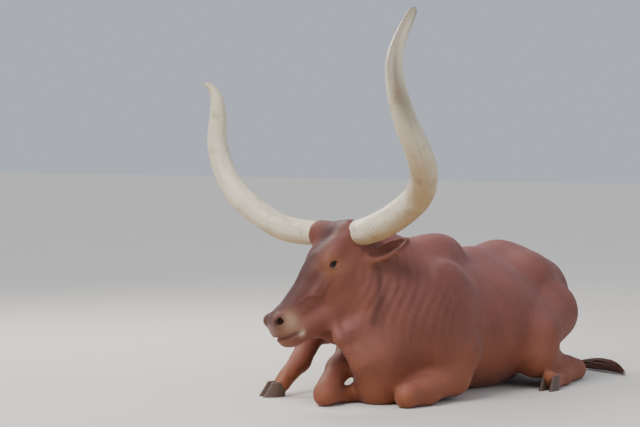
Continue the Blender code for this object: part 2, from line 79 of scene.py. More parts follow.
# Places along each horn, from the poll: to its own side, forward over the face, up; and radius.
HORN_LEFT = (
    (0.05, 0.00, -0.033, 0.058), (0.15, -0.02, -0.012, 0.064), (0.30, -0.06, 0.055, 0.067),
    (0.46, -0.07, 0.150, 0.066), (0.58, -0.01, 0.250, 0.064), (0.64, 0.07, 0.360, 0.060),
    (0.65, 0.14, 0.480, 0.054), (0.64, 0.18, 0.600, 0.047), (0.61, 0.18, 0.715, 0.040),
    (0.585, 0.15, 0.800, 0.034), (0.57, 0.10, 0.885, 0.028), (0.56, 0.05, 0.955, 0.022),
    (0.555, 0.02, 0.995, 0.012),
)
HORN_RIGHT = (
    (0.06, 0.01, -0.042, 0.055), (0.15, 0.05, -0.038, 0.059), (0.32, 0.13, -0.015, 0.061),
    (0.49, 0.18, 0.060, 0.061), (0.64, 0.20, 0.150, 0.059), (0.735, 0.21, 0.265, 0.056),
    (0.775, 0.22, 0.390, 0.050), (0.77, 0.22, 0.510, 0.042), (0.765, 0.23, 0.605, 0.031),
    (0.78, 0.25, 0.655, 0.020), (0.80, 0.28, 0.680, 0.007),
)
# Each leg: places and radii down its upper part and its lower part, the coronet's place over
# the hoof, and the toe's.
LEGS = {
    "foreleg_left": (
        ((0.25, 0.44, 0.22, 0.085), (0.235, 0.37, 0.10, 0.070), (0.20, 0.16, 0.060, 0.060),
         (0.175, 0.05, 0.054, 0.060)),
        ((0.175, 0.03, 0.046, 0.050), (0.13, 0.16, 0.038, 0.036), (0.095, 0.22, 0.036, 0.040)),
        (0.095, 0.22, 0.045), (0.06, 0.30, 0.030)),
    "foreleg_right": (
        ((-0.22, 0.34, 0.30, 0.085), (-0.225, 0.22, 0.24, 0.070), (-0.20, 0.05, 0.155, 0.053),
         (-0.175, -0.10, 0.066, 0.060)),
        ((-0.17, -0.125, 0.048, 0.052), (-0.15, 0.02, 0.038, 0.036), (-0.135, 0.08, 0.036, 0.040)),
        (-0.135, 0.08, 0.045), (-0.12, 0.17, 0.030)),
    "hindleg_left": (
        ((0.25, 1.30, 0.34, 0.17), (0.33, 1.02, 0.25, 0.12), (0.36, 0.98, 0.15, 0.095),
         (0.38, 1.28, 0.060, 0.060), (0.39, 1.36, 0.050, 0.056)),
        ((0.39, 1.36, 0.050, 0.054), (0.44, 1.12, 0.036, 0.038), (0.46, 0.96, 0.038, 0.042)),
        (0.46, 0.96, 0.048), (0.47, 0.86, 0.034)),
    "hindleg_right": (
        ((-0.24, 1.25, 0.36, 0.17), (-0.38, 0.78, 0.34, 0.120), (-0.505, 0.30, 0.285, 0.070)),
        ((-0.505, 0.30, 0.285, 0.066), (-0.498, 0.17, 0.155, 0.050), (-0.525, 0.045, 0.064, 0.046)),
        (-0.525, 0.045, 0.056), (-0.59, -0.06, 0.034)),
}
TAIL_PATH = (
    (0.0, 1.60, 0.46, 0.040), (0.01, 1.69, 0.40, 0.032), (0.03, 1.735, 0.26, 0.025),
    (0.06, 1.745, 0.12, 0.021), (0.13, 1.76, 0.035, 0.019), (0.24, 1.755, 0.021, 0.018),
)
SWITCH_PATH = (
    (0.20, 1.757, 0.022, 0.012), (0.31, 1.74, 0.034, 0.026), (0.40, 1.70, 0.040, 0.030),
    (0.49, 1.65, 0.032, 0.024), (0.56, 1.60, 0.014, 0.008),
)
# Ellipsoids of the trunk, with how softly each joins those before it: chest, belly and rump.
TRUNK = (((0.0, 0.46, 0.345), (0.285, 0.40, 0.355), 0.12),
         ((0.0, 0.92, 0.31), (0.375, 0.52, 0.345), 0.12),
         ((0.0, 1.32, 0.345), (0.30, 0.36, 0.335), 0.12))
# The same on each side: shoulder, hip and pin bone; and on the middle line: hump and brisket.
FLANK = (((0.19, 0.37, 0.35), (0.115, 0.18, 0.30), 0.08),
         ((0.20, 1.24, 0.545), (0.07, 0.10, 0.06), 0.16),
         ((0.11, 1.58, 0.40), (0.10, 0.10, 0.15), 0.16))
HUMP = ((0.02, 0.58, 0.665), (0.11, 0.17, 0.105), 0.07)
BRISKET = ((-0.01, 0.13, 0.15), (0.125, 0.16, 0.20), 0.10)
# Places and radii along the spine, the neck's crest, its throat, and the dewlap's front edge.
SPINE = ((0, 0.5, 0.62, 0.07), (0, 0.95, 0.585, 0.07), (0, 1.25, 0.60, 0.07), (0, 1.58, 0.50, 0.06))
CREST = ((0.0, 0.50, 0.58, 0.14), (-0.09, 0.26, 0.66, 0.12), (-0.155, 0.10, 0.70, 0.105))
THROAT = ((0.0, 0.30, 0.36, 0.19), (-0.10, 0.12, 0.48, 0.135), (-0.17, 0.00, 0.58, 0.10))
DEWLAP = ((-0.19, -0.07, 0.44, 0.028), (-0.10, -0.095, 0.31, 0.024), (-0.03, -0.05, 0.19, 0.035))

# Each claw of a hoof.
HOOF_LENGTH = 0.125
HOOF_WIDTH = 0.052
HOOF_HEIGHT = 0.07

# Places on the head, with radii, along the fold of skin from the jaw back to the dewlap.
THROAT_FOLD = ((0.46, 0.0, -0.225, 0.030), (0.38, 0.0, -0.335, 0.034), (0.25, 0.0, -0.330, 0.055))
# How far the hide grows over each horn's root: to its own side, forward and up from the poll.
HORN_BOSS = {1: (0.05, 0.0, -0.033), -1: (0.13, 0.045, -0.040)}
# Corners of the cheek's and jaw's rear edge: metres down the face, and out of the forehead.
JAW_EDGE = ((0.080, -0.195), (0.135, -0.245), (0.190, -0.300), (0.270, -0.345))

# The boxes that the skin is read in, before the datum.
HEAD_CORNERS = ((-0.56, -0.52, 0.24), (0.16, 0.42, 0.98))
BODY_CORNERS = ((-0.66, -0.30, -0.02), (0.60, 1.86, 0.84))
# How far above the floor the skin is cut flat.
FLOOR_GAP = 0.001


def head_axes():
    """Three unit vectors of the head: down the face, to its left, and out of its forehead."""
    turn = Matrix.Rotation(-FACE_YAW, 3, "Z") @ Matrix.Rotation(FACE_PITCH, 3, "X")
    turn = turn @ Matrix.Rotation(-FACE_ROLL, 3, "Y")
    return turn @ Vector((0, -1, 0)), turn @ Vector((1, 0, 0)), turn @ Vector((0, 0, 1))


FACE, LEFT, BROW = head_axes()
HEAD_ROWS = np.array([FACE, LEFT, BROW])
LEVEL_FORWARD = Vector((-math.sin(HORN_YAW), -math.cos(HORN_YAW), 0.0))
LEVEL_LEFT = Vector((-LEVEL_FORWARD.y, LEVEL_FORWARD.x, 0.0))


def on_head(along, side, out):
    """A place on the head: metres down the face, to its left and out of the forehead."""
    return POLL + FACE * along + LEFT * side + BROW * out


def on_side(place, side):
    """The same place on the head's left where side is 1, and on its right where it is -1."""
    return place[0], place[1] * side, place[2]


def horn_place(side, lateral, forward, up):
    """A place from the poll in level axes: to one side, forward over the face, and up."""
    return POLL + LEVEL_LEFT * (lateral * side) + LEVEL_FORWARD * forward + Vector((0, 0, up))


def datum():
    """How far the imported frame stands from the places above, read from the left eye's box."""
    low, high = (Vector(corner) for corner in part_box("eye_left"))
    shift = (low + high) / 2 - on_head(*EYE_PLACE)
    return Vector((shift.x, shift.y, 0.0))


DATUM = datum()

# The plane between the head's grid and the body's, how far each runs past it, and how steeply
# each dives under the other there.
SPLIT_PLACE = on_head(0.06, 0, -0.27)
SPLIT_WAY = np.array((-(FACE * 0.30 + BROW * 0.95)).normalized())
SPLIT_REACH = 0.05
SPLIT_SLOPE = 0.09


def metres(name, description, default):
    """A length in metres that a user would change."""
    return bpy.props.FloatProperty(name=name, description=description, default=default, unit="LENGTH")


class OxSettings(bpy.types.PropertyGroup):
    """Sizes and colours that a user would change."""

    body_step: metres("Body grid", "Grid of the body's skin", 0.0088)
    head_step: metres("Head grid", "Grid of the head's skin", 0.0038)
    coat_depth: metres("Coat depth", "How far the skin lies inside the drawn surface", 0.0025)
    hair_length: metres("Hair length", "Length of a tuft on the body", 0.011)
    tufts: bpy.props.IntProperty(
        name="Tufts", description="Tufts in each coat piece", default=48000)
    coat_pieces: bpy.props.IntProperty(
        name="Coat pieces", description="Pieces that the coat is made in", default=7)
    hide: bpy.props.StringProperty(
        name="Hide", description="Main colour of the coat, as sRGB hex", default="#7C4637")


def srgb(colour):
    """sRGB hex to linear red, green and blue."""
    parts = [int(colour[i:i + 2], 16) / 255.0 for i in (1, 3, 5)]
    return np.array([p / 12.92 if p < 0.04045 else ((p + 0.055) / 1.055) ** 2.4 for p in parts])


def ball(grid, centre, radii, rows=np.eye(3)):
    """Signed distance to an ellipsoid: scaled radius times that less one, over its slope."""
    local = [sum((grid[k] - centre[k]) * rows[a][k] for k in range(3)) for a in range(3)]
    scaled = np.sqrt(sum((local[a] / radii[a]) ** 2 for a in range(3)))
    slope = np.sqrt(sum((local[a] / radii[a] ** 2) ** 2 for a in range(3))) + 1e-6
    return scaled * (scaled - 1.0) / slope


def rod(grid, start, end, first, last):
    """Signed distance to a rod with round ends: distance to its axis less a radius that runs evenly."""
    axis = np.array(end) - np.array(start)
    reach = sum((grid[k] - start[k]) * axis[k] for k in range(3)) / float(axis @ axis)
    reach = np.clip(reach, 0.0, 1.0)
    away = np.sqrt(sum((grid[k] - start[k] - reach * axis[k]) ** 2 for k in range(3)))
    return away - (first + (last - first) * reach)


def join(a, b, soft):
    """The smaller of two distances, lowered by a parabola where they come within soft."""
    close = np.maximum(soft - np.abs(a - b), 0.0) / soft
    return np.minimum(a, b) - close * close * soft * 0.25


def cut(a, b, soft):
    """What is left of a without b, with its rim rounded over soft."""
    return -join(-a, b, soft)


def chain(grid, places, soft):
    """Rods end to end through (x, y, z, radius) places, softly joined."""
    field = None
    for here, there in pairwise(places):
        piece = rod(grid, here[:3], there[:3], here[3], there[3])
        field = piece if field is None else join(field, piece, soft)
    return field


def head_ball(grid, place, radii):
    """An ellipsoid placed on the head and turned with it."""
    return ball(grid, on_head(*place), radii, HEAD_ROWS)


def head_rod(grid, start, end, first, last):
    """A rod between two places on the head."""
    return rod(grid, on_head(*start), on_head(*end), first, last)


def bell(away, width):
    """One at no distance, falling as a bell to nothing a few widths away."""
    return np.exp(-(away / width) ** 2)


def ramp(value, start, width):
    """An even rise from nothing at start to one a width past it. A negative width rises backwards."""
    return np.clip((value - start) / width, 0.0, 1.0)


def add_balls(grid, field, rows, side=1):
    """Joins ellipsoids to a field in turn, on the left, or on the right where side is -1."""
    for (x, y, z), radii, soft in rows:
        field = join(field, ball(grid, (x * side, y, z), radii), soft)
    return field


def torso_field(grid):
    """Chest, belly, rump, hump and spine of the lying body."""
    field = add_balls(grid, ball(grid, *TRUNK[0][:2]), TRUNK[1:])
    for side in (-1, 1):
        field = add_balls(grid, field, FLANK, side)
    return add_balls(grid, join(field, chain(grid, SPINE, 0.06), 0.10), (HUMP, BRISKET))


def neck_field(grid):
    """Crest, throat and the thin hanging dewlap, from the withers to behind the jaw."""
    field = join(chain(grid, CREST, 0.06), chain(grid, THROAT, 0.06), 0.16)
    for drop in (0.0, 0.07, 0.14):
        sheet = [(x + drop * 0.4, y + drop, z + drop * 0.5, r + drop * 0.15) for x, y, z, r in DEWLAP]
        field = join(field, chain(grid, sheet, 0.04), 0.06)
    return field


def head_field(grid):
    """Skull, cheeks, muzzle, lips, brows and horn bosses, with the nostrils and mouth cut in."""
    field = head_ball(grid, (0.105, 0, -0.10), (0.15, 0.105, 0.105))
    field = join(field, head_ball(grid, (0.15, 0, -0.030), (0.16, 0.098, 0.055)), 0.04)
    field = join(field, head_rod(grid, (0.16, 0, -0.095), (0.50, 0, -0.098), 0.088, 0.058), 0.06)
    field = join(field, head_rod(grid, (0.22, 0, -0.015), (0.48, 0, -0.068), 0.030, 0.028), 0.05)
    for place, radii, soft in (((0.548, 0, -0.092), (0.062, 0.078, 0.062), 0.04),
                               ((0.568, 0, -0.170), (0.050, 0.052, 0.038), 0.03),
                               ((0.575, 0, -0.122), (0.044, 0.060, 0.045), 0.03)):
        field = join(field, head_ball(grid, place, radii), soft)
    for here, there in pairwise(THROAT_FOLD):
        field = join(field, head_rod(grid, here[:3], there[:3], here[3], there[3]), 0.06)
    for side in (-1, 1):
        jaw = head_rod(grid, (0.22, 0.056 * side, -0.250), (0.53, 0.026 * side, -0.178), 0.055, 0.036)
        cheek = head_ball(grid, (0.21, 0.068 * side, -0.17), (0.120, 0.045, 0.120))
        brow = head_ball(grid, (0.187, 0.084 * side, -0.033), (0.055, 0.032, 0.030))
        temple = head_ball(grid, (0.115, 0.068 * side, -0.018), (0.098, 0.042, 0.042))
        root, end = horn_place(side, 0.0, 0.0, -0.045), horn_place(side, *HORN_BOSS[side])
        boss = rod(grid, root, end, 0.066, 0.069)
        for piece, soft in ((jaw, 0.07), (cheek, 0.05), (brow, 0.03), (temple, 0.05), (boss, 0.04)):
            field = join(field, piece, soft)
        ridge = head_rod(grid, (0.24, 0.088 * side, -0.075), (0.36, 0.066 * side, -0.095), 0.014, 0.010)
        field = join(field, ridge, 0.03)
        wing = head_ball(grid, (0.565, 0.050 * side, -0.062), (0.034, 0.026, 0.032))
        field = join(field, wing, 0.02)
        field = face_features(grid, field, side)
    return field


def mouth_line(side):
    """Places on the head along the parting of the lips, from the front to one corner."""
    return ((0.618, 0.0, -0.132), (0.604, 0.036 * side, -0.138), (0.572, 0.062 * side, -0.152),
            (0.528, 0.072 * side, -0.172))


def face_features(grid, field, side):
    """Round eye under almond lids, crest and vein on the cheek, nostril with its rim, and lips.
    Creases sink the surface, and crest and vein lift it, by a bell of the distance to a line."""
    local = [sum((grid[k] - POLL[k]) * HEAD_ROWS[a][k] for k in range(3)) for a in range(3)]
    outer = ramp(local[1] * side, 0.03, 0.02)
    place = on_side(EYE_PLACE, side)
    field = join(field, head_ball(grid, place, (0.038, 0.024, 0.030)), 0.018)
    along, out = local[0] - place[0], local[2] - place[2]
    u = along * TILT_COS + out * TILT_SIN
    w = out * TILT_COS - along * TILT_SIN
    beside = outer * bell(u, 0.034)
    for depth, height, bend in LID_CREASES:
        field = field + depth * beside * bell(w - height + bend * u * u, 0.0035)
    field = cut(field, eye_opening(grid, place, side), 0.003)
    rim = [eye_rim(place, side, math.pi * step / 6.0) for step in range(13)]
    for here, there in pairwise(rim):
        field = join(field, rod(grid, here, there, 0.0034, 0.0034), 0.004)
    crest = ramp(local[0], 0.38, -0.05) * ramp(local[0], 0.24, 0.05)
    field = field - 0.0045 * outer * crest * bell(local[2] + 0.088 + (local[0] - 0.26) * 0.30, 0.013)
    vein = ramp(local[0], 0.47, -0.04) * ramp(local[0], 0.30, 0.04)
    bend = local[2] + 0.125 - (local[0] - 0.30) * 0.42 + 0.008 * np.sin(local[0] * 60.0)
    field = field - 0.0022 * outer * vein * bell(bend, 0.006)
    field = field + 0.0080 * outer * bell(jaw_line(local), 0.012)
    field = join(field, head_ball(grid, (0.566, 0.058 * side, -0.062), (0.028, 0.021, 0.025)), 0.010)
    nostril = head_rod(grid, (0.584, 0.076 * side, -0.062), (0.552, 0.044 * side, -0.072), 0.016, 0.012)
    slit = head_rod(grid, (0.545, 0.080 * side, -0.040), (0.566, 0.077 * side, -0.052), 0.004, 0.011)
    field = cut(cut(field, nostril, 0.006), slit, 0.006)
    for here, there in pairwise(mouth_line(side)):
        field = cut(field, head_rod(grid, here, there, 0.0048, 0.0055), 0.007)
    return field


def jaw_line(local):
    """Distance, in the head's side view, to the rear edge of the cheek and jaw."""
    plane = (local[0], local[2], np.zeros_like(local[0]))
    edges = (rod(plane, (*here, 0.0), (*there, 0.0), 0.0, 0.0) for here, there in pairwise(JAW_EDGE))
    return reduce(np.minimum, edges)


def eye_rim(place, side, angle):
    """A place on the lids' edge: an almond drawn on the eyeball, at one angle round it."""
    u = LID_REACH * math.cos(angle)
    w = (LID_ABOVE if math.sin(angle) > 0 else LID_BELOW) * math.sin(angle)
    depth = math.sqrt(max(EYE_RADIUS ** 2 - u * u - w * w, 0.005 ** 2)) + 0.0012
    along = u * TILT_COS - w * TILT_SIN
    out = w * TILT_COS + u * TILT_SIN
    return on_head(place[0] + along, place[1] + depth * side, place[2] + out)


def eye_opening(grid, place, side):
    """An ellipsoid that opens the lids over the eyeball, turned to the eye's own tilt."""
    ahead = FACE * TILT_COS + BROW * TILT_SIN
    over = BROW * TILT_COS - FACE * TILT_SIN
    centre = on_head(place[0], place[1] + 0.022 * side, place[2]) + over * 0.001
    return ball(grid, centre, (0.0235, 0.020, 0.0155), np.array([ahead, LEFT, over]))


def ear_field(grid, side):
    """A leaf of flesh standing out behind the horn, hollowed on its front as a cup."""
    root = on_head(*on_side(EAR_ROOT, side))
    tip = root + LEVEL_LEFT * (0.13 * side) + Vector((0, 0, 0.10)) - LEVEL_FORWARD * 0.15
    along = (tip - root).normalized()
    front = FACE * 0.45 + BROW * 0.9
    front = (front - along * front.dot(along)).normalized()
    rows = np.array([along, front, along.cross(front)])
    middle = root + along * 0.115
    leaf = ball(grid, middle, (0.115, 0.026, 0.055), rows)
    leaf = join(leaf, rod(grid, root - along * 0.02, root + along * 0.05, 0.030, 0.026), 0.03)
    hollow = ball(grid, middle + along * 0.010 + front * 0.024, (0.090, 0.032, 0.041), rows)
    return cut(leaf, hollow, 0.006)


def leg_field(grid, upper, lower, top, toe):
    """A limb as two chains of rods, with a pastern to the hoof and dewclaws behind the fetlock."""
    field = chain(grid, upper, 0.05)
    field = join(field, chain(grid, lower, 0.03), 0.02)
    ahead = Vector((toe[0] - top[0], toe[1] - top[1], 0)).normalized()
    band = Vector((top[0], top[1], 0.062)) + ahead * 0.040
    field = join(field, rod(grid, lower[-1][:3], band, lower[-1][3] * 0.85, 0.034), 0.03)
    ankle = Vector(lower[-1][:3])
    back = (Vector(lower[-2][:3]) - ankle).normalized()
    across = back.cross(Vector((0, 0, 1))).normalized()
    for side in (-1, 1):
        dewclaw = ankle + across * (0.026 * side) + back * 0.01 + Vector((0, 0, 0.022))
        field = join(field, ball(grid, dewclaw, (0.016, 0.016, 0.016)), 0.012)
    return field


def body_wrinkles(grid):
    """Depth of the skin's folds: waves across the neck, and faint ribs on the flank."""
    x, y, z = grid
    along = (y - 0.25) * 0.75 + (z - 0.5) * -0.35 + x * 0.5
    neck = np.exp(-(((y - 0.13) / 0.14) ** 2 + ((z - 0.52) / 0.18) ** 2))
    wave = np.sin(along * 150.0 + 2.0 * np.sin(z * 19.0)) + 0.5 * np.sin(along * 97.0 + z * 24.0)
    flank = np.exp(-(((y - 0.92) / 0.22) ** 2 + ((z - 0.36) / 0.16) ** 2))
    ribs = np.sin((y + 0.25 * z) * 74.0) * flank
    return 0.0018 * neck * wave + 0.0014 * ribs


def flesh(grid):
    """Torso, neck, head, ears, legs and tail as one softly joined whole, flat on the floor."""
    field = join(torso_field(grid), neck_field(grid), 0.09)
    for leg in LEGS.values():
        field = join(field, leg_field(grid, *leg), 0.055)
    field = join(field, chain(grid, TAIL_PATH, 0.02), 0.04)
    field = field + body_wrinkles(grid)
    field = join(field, head_field(grid), 0.035)
    for side in (-1, 1):
        field = join(field, ear_field(grid, side), 0.022)
    return field


def step_along(axis, rest):
    """Two picks from a grid, one cell apart on one axis, with the other axes cut to rest."""
    near, far = [rest] * 3, [rest] * 3
    near[axis], far[axis] = slice(0, -1), slice(1, None)
    return tuple(near), tuple(far)


def surface(field, low, step):
    """Closed quads where a grid of distances crosses zero: one point for each crossed cell,
    at the mean of its edges' crossings, and one quad across each crossed grid edge."""
    inside = field < 0.0
    shape = np.array(field.shape) - 1
    total = np.zeros(tuple(shape) + (3,), dtype=np.float32)
    count = np.zeros(tuple(shape), dtype=np.float32)
    for axis in range(3):
        others = [a for a in range(3) if a != axis]
        near, far = step_along(axis, slice(None))
        a, b = field[near], field[far]
        crossed = inside[near] != inside[far]
        share = np.where(crossed, a / np.where(crossed, a - b, 1.0), 0.0)
        for ends in product((0, 1), repeat=2):
            pick = [slice(None)] * 3
            for other, end in zip(others, ends):
                pick[other] = slice(end, end + shape[other])
            hit = crossed[tuple(pick)]
            count += hit
            total[..., axis] += np.where(hit, share[tuple(pick)], 0.0)
            for other, end in zip(others, ends):
                total[..., other] += hit * end
    used = count > 0
    number = np.full(count.shape, -1)
    number[used] = np.arange(used.sum())
    cells = np.argwhere(used)
    points = np.array(low) + (cells + total[used] / count[used][:, None]) * step
    faces = []
    for axis in range(3):
        u, v = (axis + 1) % 3, (axis + 2) % 3
        near, far = step_along(axis, slice(1, -1))
        start, end = inside[near], inside[far]
        for way in (True, False):
            at = np.argwhere((start != end) & (start == way))
            at[:, u] += 1
            at[:, v] += 1
            corners = []
            for du, dv in ((-1, -1), (0, -1), (0, 0), (-1, 0)):
                cell = at.copy()
                cell[:, u] += du
                cell[:, v] += dv
                corners.append(number[tuple(cell.T)])
            quad = np.stack(corners, axis=1)
            faces.append(quad if way else quad[:, ::-1])
    return points, np.concatenate(faces).tolist()


def read_surface(low, high, step, depth, share):
    """The flesh's surface between two corners, sunk by the coat's depth, on one side of the
    head's split. Each side runs a little past it and dives gently under the other."""
    low = np.array(low, dtype=float)
    counts = np.ceil((np.array(high) - low) / step).astype(int) + 1
    lines = [(low[k] + np.arange(counts[k]) * step).astype(np.float32) for k in range(3)]
    grid = np.meshgrid(*lines, indexing="ij")
    field = np.maximum(flesh(grid) + depth, FLOOR_GAP - grid[2])
    split = sum((grid[k] - SPLIT_PLACE[k]) * SPLIT_WAY[k] for k in range(3))
    beyond = split if share == "head" else -split
    field = np.maximum(field + np.maximum(beyond, 0.0) * SPLIT_SLOPE, beyond - SPLIT_REACH)
    for axis in range(3):
        ends = [slice(None)] * 3
        ends[axis] = (0, -1)
        field[tuple(ends)] = np.maximum(field[tuple(ends)], step * 0.4)
    return surface(field, low, step)


def smooth_path(places, count):
    """Points read evenly from a Catmull-Rom curve through places of any number of values."""
    knots = np.array(places, dtype=float)
    padded = np.vstack([2 * knots[0] - knots[1], knots, 2 * knots[-1] - knots[-2]])
    values = np.linspace(0, len(knots) - 1, count)
    i = np.minimum(values.astype(int), len(knots) - 2)
    t = (values - i)[:, None]
    a, b, c, d = padded[i], padded[i + 1], padded[i + 2], padded[i + 3]
    return 0.5 * (2 * b + (c - a) * t + (2 * a - 5 * b + 4 * c - d) * t * t
                  + (3 * b - a - 3 * c + d) * t ** 3)


def frames_along(path):
    """Unit tangents and two normals at each point, the normals carried along with no twist."""
    ahead = np.gradient(path, axis=0)
    ahead /= np.linalg.norm(ahead, axis=1)[:, None]
    side = np.zeros_like(path)
    start = np.cross(ahead[0], (0.0, 0.0, 1.0))
    side[0] = start / np.linalg.norm(start)
    for i in range(1, len(path)):
        step = side[i - 1] - ahead[i] * (side[i - 1] @ ahead[i])
        side[i] = step / np.linalg.norm(step)
    return ahead, side, np.cross(ahead, side)


def tube_grid(path, radius, sides):
    """Rings of points round a path: centre plus radius times cosine and sine of the angle."""
    ahead, side, other = frames_along(path)
    angle = np.arange(sides) * 2 * math.pi / sides
    ring = (side[:, None] * np.cos(angle)[None, :, None]
            + other[:, None] * np.sin(angle)[None, :, None])
    return path[:, None] + ring * radius[..., None]


def tube_faces(rings, sides, offset=0):
    """Quads of a tube of rings, and the two end faces."""
    ring, side = np.meshgrid(np.arange(rings - 1), np.arange(sides), indexing="ij")
    a = offset + ring * sides + side
    b = offset + ring * sides + (side + 1) % sides
    quads = np.stack([a, b, b + sides, a + sides], axis=-1).reshape(-1, 4)
    first = offset + np.arange(sides)[::-1]
    last = offset + (rings - 1) * sides + np.arange(sides)
    return quads.tolist() + [first.tolist(), last.tolist()]


def add_object(name, data):
    """A new object, linked to the scene."""
    obj = bpy.data.objects.new(name, data)
    bpy.context.scene.collection.objects.link(obj)
    return obj


def paint(mesh, colours):
    """Writes a linear colour for each point, in the layer that the materials read."""
    layer = mesh.color_attributes.new("Coat", "FLOAT_COLOR", "POINT")
    full = np.concatenate([colours, np.ones((len(colours), 1))], axis=1)
    layer.data.foreach_set("color", full.astype(np.float32).ravel())


def write_uv(mesh, name, uv):
    """A UV map from one place for each point."""
    index = np.empty(len(mesh.loops), dtype=np.int32)
    mesh.loops.foreach_get("vertex_index", index)
    layer = mesh.uv_layers.new(name=name, do_init=False)
    layer.uv.foreach_set("vector", uv[index].astype(np.float32).ravel())


def read_points(mesh):
    """The places of a mesh's points, before the datum, and their normals."""
    found = []
    for key in ("co", "normal"):
        values = np.empty(len(mesh.vertices) * 3, dtype=np.float32)
        mesh.vertices.foreach_get(key, values)
        found.append(values.reshape(-1, 3).astype(np.float64))
    return found[0] - np.array(DATUM), found[1]


def new_piece(name, points, faces, material, replaced, colours=None):
    """A mesh object at the origin that rides on the body, with its place in its mesh."""
    mesh = bpy.data.meshes.new(name)
    points = np.asarray(points, dtype=np.float64) + np.array(DATUM)
    mesh.from_pydata(points.tolist(), [], faces)
    mesh.shade_smooth()
    if colours is not None:
        paint(mesh, colours)
    mesh.materials.append(material)
    obj = add_object(name, mesh)
    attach(obj, "root")
    if replaced:
        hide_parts(*replaced)
    return obj


def halo(points, place, radius):
    """One at a place, falling as a bell to nothing a few radii away."""
    return np.exp(-((points - np.array(place)) ** 2).sum(axis=1) / radius ** 2)


def blend(colours, share, to):
    """Mixes an sRGB hex colour into linear colours in place, by a share for each."""
    share = np.clip(share, 0.0, 1.0)[:, None]
    colours[:] = colours * (1.0 - share) + srgb(to) * share


# Patches of colour on the head, each a place, a radius, a share and a colour: the pale eye ring
# and dark tear line; the pale muzzle and lip corner, and painted shade in the nostril; the nose tip and
# chin.
EYE_PATCHES = ((EYE_PLACE, 0.045, 0.80, "#96653F"), ((0.317, 0.092, -0.052), 0.045, 0.45, "#4A2820"))
MUZZLE_PATCHES_AND_NOSTRIL_SHADE = (((0.535, 0.075, -0.105), 0.045, 0.90, "#B08E72"),
                  ((0.528, 0.070, -0.178), 0.016, 0.80, "#C9B29A"), (NOSTRIL, 0.0175, 1.0, "#140A08"))
FRONT_PATCHES = ((NOSE_TIP, 0.045, 0.90, "#7E6458"), ((0.58, 0, -0.195), 0.045, 0.60, "#94705A"))


def coat_colour(points, normals, hide):
    """Linear colour of the coat at each place: the hide's red brown, with a painted mauve sky
    reflection on the back and other up-facing surfaces, painted warm bounce light low on the legs
    and belly, dark down the face, pale round eye and muzzle, and painted shade in the nostrils,
    along the mouth, in the neck's folds and behind the jaw."""
    x, y, z = points.T
    colour = np.tile(srgb(hide), (len(points), 1))
    tint = partial(blend, colour)
    # Painted sky reflection: the more a surface faces up, the more it is tinted mauve.
    tint(np.clip(normals[:, 2], 0, 1) * 0.40, "#8A5C5E")
    # Painted warm bounce light: the lower a surface lies below 0.34 m, the more it is tinted orange-brown.
    tint(ramp(z, 0.34, -0.30) * 0.65, "#93522F")
    mottle = np.sin(x * 23.0 + 1.7 * np.sin(y * 17.0)) * np.sin(z * 19.0 + y * 7.0)
    tint(0.10 + 0.10 * mottle, "#5E3228")
    along, side_of, out = ((points - np.array(POLL)) @ HEAD_ROWS.T).T
    on = 1.0 / (1.0 + np.exp(-(out + 0.24) * 60.0)) * (np.abs(side_of) < 0.2)
    on = on * (along > -0.08) * (y < 0.16)
    bridge = bell(side_of, 0.085) * ramp(out, -0.11, 0.05)
    tint(on * bridge * 0.90, "#3A1C1D")
    tint(on * 0.25 * (1 - bridge), "#6E3A2A")
    for side in (-1, 1):
        middle = on_side(EYE_PLACE, side)
        for place, radius, share, to in EYE_PATCHES:
            tint(halo(points, on_head(*on_side(place, side)), radius) * share, to)
        lids = [halo(points, eye_rim(middle, side, math.pi * k / 8), 0.0080) for k in range(16)]
        tint(np.max(lids, axis=0) * 1.6, "#1B0F0C")
        for place, radius, share, to in MUZZLE_PATCHES_AND_NOSTRIL_SHADE:
            tint(halo(points, on_head(*on_side(place, side)), radius) * share, to)
        ear = on_head(*on_side(EAR_ROOT, side)) + LEVEL_LEFT * (0.06 * side) - LEVEL_FORWARD * 0.06
        tint(halo(points, ear, 0.07) * 0.35, "#9A6340")
    for place, radius, share, to in FRONT_PATCHES:
        tint(halo(points, on_head(*place), radius) * share, to)
    # Painted shade along the parting of the lips, where the mouth is cut in.
    for side in (-1, 1):
        for here, there in pairwise(mouth_line(side)):
            lip = rod(points.T, on_head(*here), on_head(*there), 0.0, 0.0)
            tint(bell(lip, 0.006) * 0.8, "#2C1812")
    for knee in ((0.175, 0.03, 0.05), (-0.17, -0.12, 0.05)):
        tint(1.0 - (1.0 - halo(points, knee, 0.05) * 0.12) ** 2, "#6A4030")
    for leg in LEGS.values():
        tint(halo(points, leg[2], 0.06) * 0.30, "#95633F")
    # Painted shade in the neck's folds, between the dewlap and the shoulder.
    folds = np.exp(-(((y - 0.16) / 0.12) ** 2 + ((z - 0.40) / 0.20) ** 2))
    tint(folds * 0.40, "#4A261C")
    # Painted shade along the groove behind the cheek and jaw.
    jaw = jaw_line((along + 0.012, side_of, out + 0.016))
    tint(bell(jaw, 0.024) * (np.abs(side_of) < 0.3) * 0.60, "#41221A")
    return colour


def add_node(tree, kind, settings=None, inputs=None, links=None):
    """Adds one node, sets its properties and input values, and links (input, output) pairs."""
    node = tree.nodes.new(kind)
    for key, value in (settings or {}).items():
        setattr(node, key, value)
    for key, value in (inputs or {}).items():
        node.inputs[key].default_value = value
    for key, output in (links or {}).items():
        tree.links.new(output, node.inputs[key])
    return node


def object_place(tree):
    """The place on the object, in metres."""
    return add_node(tree, "ShaderNodeTexCoord").outputs["Object"]


def tone_of(tree):
    """The colour painted on the points."""
    return add_node(tree, "ShaderNodeVertexColor", {"layer_name": "Coat"}).outputs["Color"]


